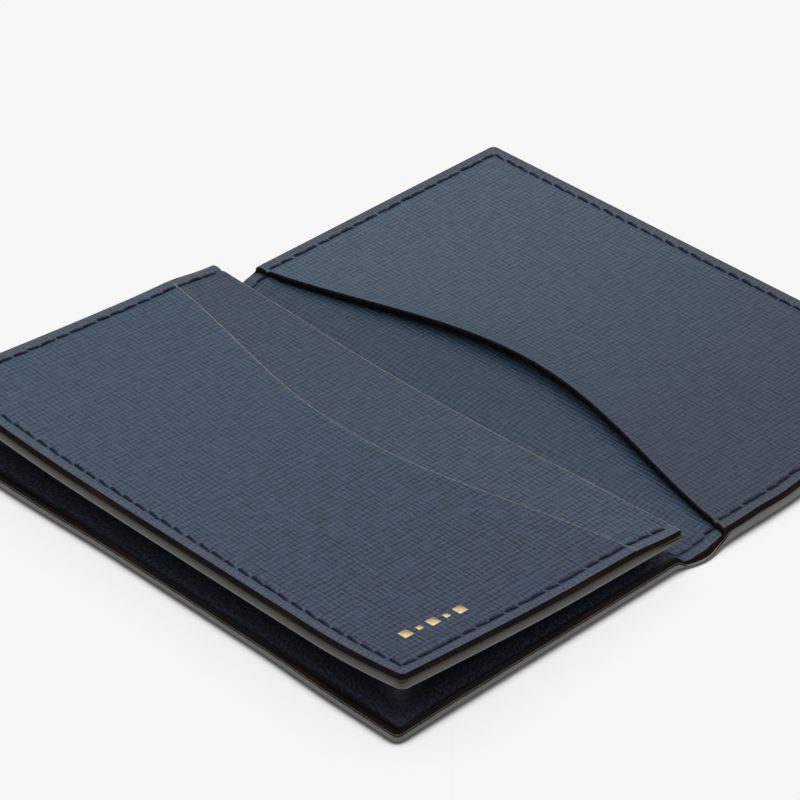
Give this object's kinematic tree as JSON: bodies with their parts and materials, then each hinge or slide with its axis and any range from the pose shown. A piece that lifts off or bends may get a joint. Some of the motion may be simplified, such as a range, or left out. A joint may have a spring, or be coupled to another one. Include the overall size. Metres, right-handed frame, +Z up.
{
  "type": "folding card holder",
  "caption": "Folding leather card holder lying open, with a gusset pocket and card slots on one half and a flat arched pocket on the other.",
  "frame": {"origin": "centre of the rectangle that the open holder covers, on the surface it lies on", "axes": "+X from the gusset-pocket half across the spine to the arched-pocket half, +Y along the spine, +Z up from the outer face to the inside"},
  "size_m": [0.126, 0.105, 0.0111],
  "materials": {
    "cover_leather": "fine cross-grained, soft sheen",
    "lining_leather": "smooth matt",
    "gusset_leather": "smooth matt, dark navy",
    "pocket_leather": "fine cross-grained, soft sheen",
    "board": "matt fibre board",
    "thread": "waxed twisted thread",
    "gold_foil": "polished hot foil"
  },
  "bodies": {
    "left_half": {"left_cover": "cover_leather", "left_stiffener": "board", "left_lining": "lining_leather", "gusset": "gusset_leather", "left_stitching": "thread"},
    "spine": {"spine_cover": "cover_leather", "spine_lining": "lining_leather", "spine_stitching": "thread"},
    "right_half": {"right_cover": "cover_leather", "right_stiffener": "board", "right_lining": "lining_leather", "arch_pocket": "pocket_leather", "right_stitching": "thread"},
    "pocket": {"pocket_panel": "pocket_leather", "rear_card_slot": "pocket_leather", "front_card_slot": "pocket_leather", "pocket_stitching": "thread", "foil_ornament": "gold_foil"}
  },
  "joints": [
    {"name": "left_fold", "type": "hinge", "parent": "left_half", "child": "spine", "pos_m": [-0.0027, 0, 0.0004], "axis": [0, -1, 0], "range_deg": [0, 87]},
    {"name": "right_fold", "type": "hinge", "parent": "spine", "child": "right_half", "pos_m": [0.0052, 0, 0.0004], "axis": [0, -1, 0], "range_deg": [0, 87]},
    {"name": "pocket_press", "type": "slide", "parent": "left_half", "child": "pocket", "axis": [0, 0, 1], "range_m": [-0.0029, 0], "deforming": ["gusset"]}
  ],
  "couplings": [
    {"joint": "right_fold", "follows": "left_fold", "ratio": 1},
    {"joint": "pocket_press", "follows": "left_fold", "m_per_rad": -0.0019099}
  ]
}
